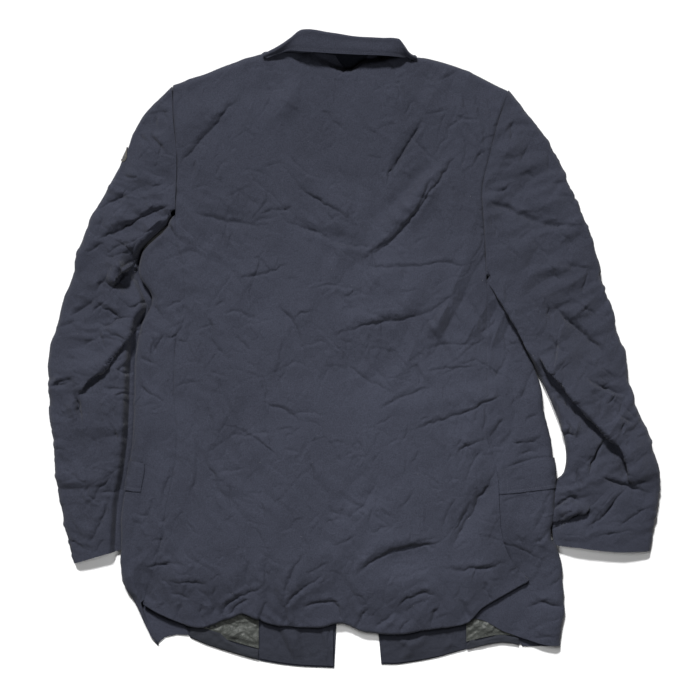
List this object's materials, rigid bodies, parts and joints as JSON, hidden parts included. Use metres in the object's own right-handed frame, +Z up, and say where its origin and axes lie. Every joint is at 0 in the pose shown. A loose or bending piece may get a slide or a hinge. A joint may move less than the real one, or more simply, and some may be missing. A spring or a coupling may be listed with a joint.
{
  "type": "dress tunic",
  "caption": "Navy dress tunic laid face down on a flat surface, back upward, sleeves at its sides, collar folded, lining showing below the back's hem.",
  "frame": {"origin": "middle of the bounding box, on the surface the tunic lies on", "axes": "+Z up from the surface, +Y from the hem towards the collar, +X towards the sleeve that lies to the right of the back"},
  "size_m": [0.8392, 0.8784, 0.0411],
  "materials": {
    "back": "plain dark navy suiting, matt, creased",
    "collar": "plain dark navy suiting, matt, creased",
    "facing_left": "plain dark navy suiting, matt, creased",
    "facing_right": "plain dark navy suiting, matt, creased",
    "front_left": "plain dark navy suiting, matt, creased",
    "front_right": "plain dark navy suiting, matt, creased",
    "lapel_left": "plain dark navy suiting, matt, creased",
    "lapel_right": "plain dark navy suiting, matt, creased",
    "lining_left": "smooth crumpled lining cloth",
    "lining_right": "smooth crumpled lining cloth",
    "pocket_flap_left": "plain dark navy suiting, matt, creased",
    "pocket_flap_right": "plain dark navy suiting, matt, creased",
    "side_left": "plain dark navy suiting, matt, creased",
    "side_right": "plain dark navy suiting, matt, creased",
    "sleeve_badge": "embroidered patch",
    "topsleeve_left": "plain dark navy suiting, matt, creased",
    "topsleeve_right": "plain dark navy suiting, matt, creased",
    "undersleeve_left": "plain dark navy suiting, matt, creased",
    "undersleeve_right": "plain dark navy suiting, matt, creased"
  },
  "bodies": {
    "root": {"back": "back", "collar": "collar", "facing_left": "facing_left", "facing_right": "facing_right", "front_left": "front_left", "front_right": "front_right", "lapel_left": "lapel_left", "lapel_right": "lapel_right", "lining_left": "lining_left", "lining_right": "lining_right", "pocket_flap_left": "pocket_flap_left", "pocket_flap_right": "pocket_flap_right", "side_left": "side_left", "side_right": "side_right", "sleeve_badge": "sleeve_badge", "topsleeve_left": "topsleeve_left", "topsleeve_right": "topsleeve_right", "undersleeve_left": "undersleeve_left", "undersleeve_right": "undersleeve_right"}
  },
  "joints": []
}
